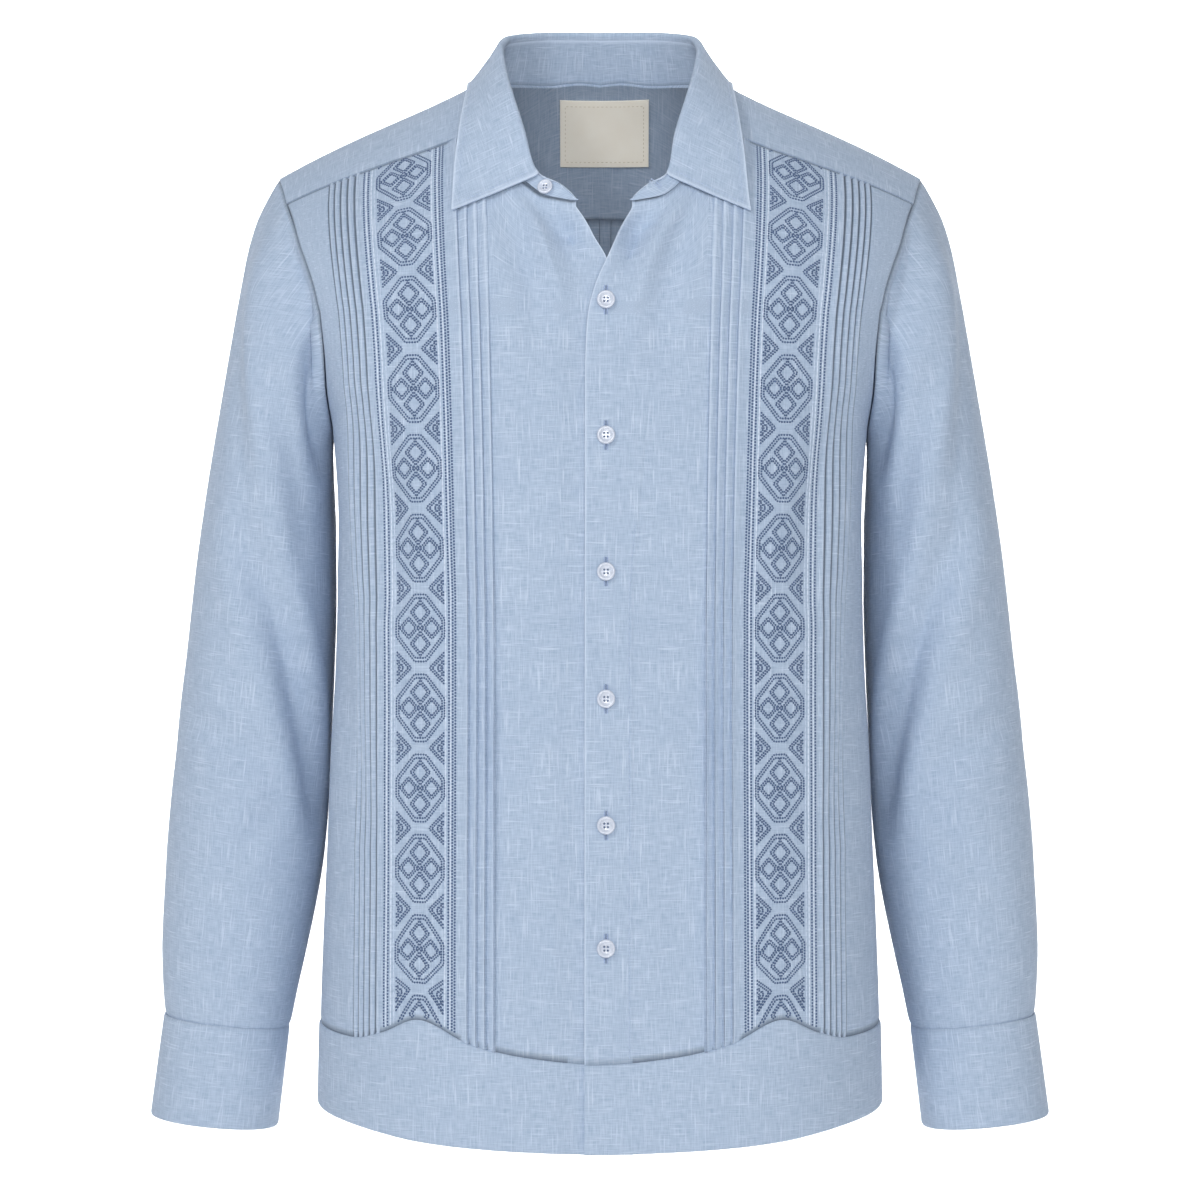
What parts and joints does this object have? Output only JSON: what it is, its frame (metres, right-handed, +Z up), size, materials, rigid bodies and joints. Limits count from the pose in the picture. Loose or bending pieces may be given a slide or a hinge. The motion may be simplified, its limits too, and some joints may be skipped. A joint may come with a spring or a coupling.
{
  "type": "guayabera shirt",
  "caption": "Long-sleeved guayabera shirt in linen, worn and hollow, with pintucks either side of an embroidered band on each front and a banded hem.",
  "frame": {"origin": "between the shoulders, level with the points where the collar meets them, at half the shirt's depth", "axes": "+Z up to the collar, the front faces -Y, the wearer's left is +X"},
  "size_m": [0.5818, 0.2684, 0.7186],
  "materials": {
    "linen": "steel-blue linen in plain weave with slubs, matt",
    "pearl_button": "pale pearl, polished",
    "label_satin": "cream woven satin, bare"
  },
  "bodies": {
    "root": {"yoke": "linen", "back": "linen", "front_left": "linen", "front_right": "linen", "hem_front_left": "linen", "hem_front_right": "linen", "hem_back": "linen", "sleeve_left": "linen", "sleeve_right": "linen", "cuff_left": "linen", "cuff_right": "linen", "collar_stand": "linen", "collar_leaf": "linen", "button_front_1": "pearl_button", "button_front_2": "pearl_button", "button_front_3": "pearl_button", "button_front_4": "pearl_button", "button_front_5": "pearl_button", "button_front_6": "pearl_button", "button_collar": "pearl_button", "button_cuff_left": "pearl_button", "button_cuff_right": "pearl_button", "neck_label": "label_satin"}
  },
  "joints": []
}
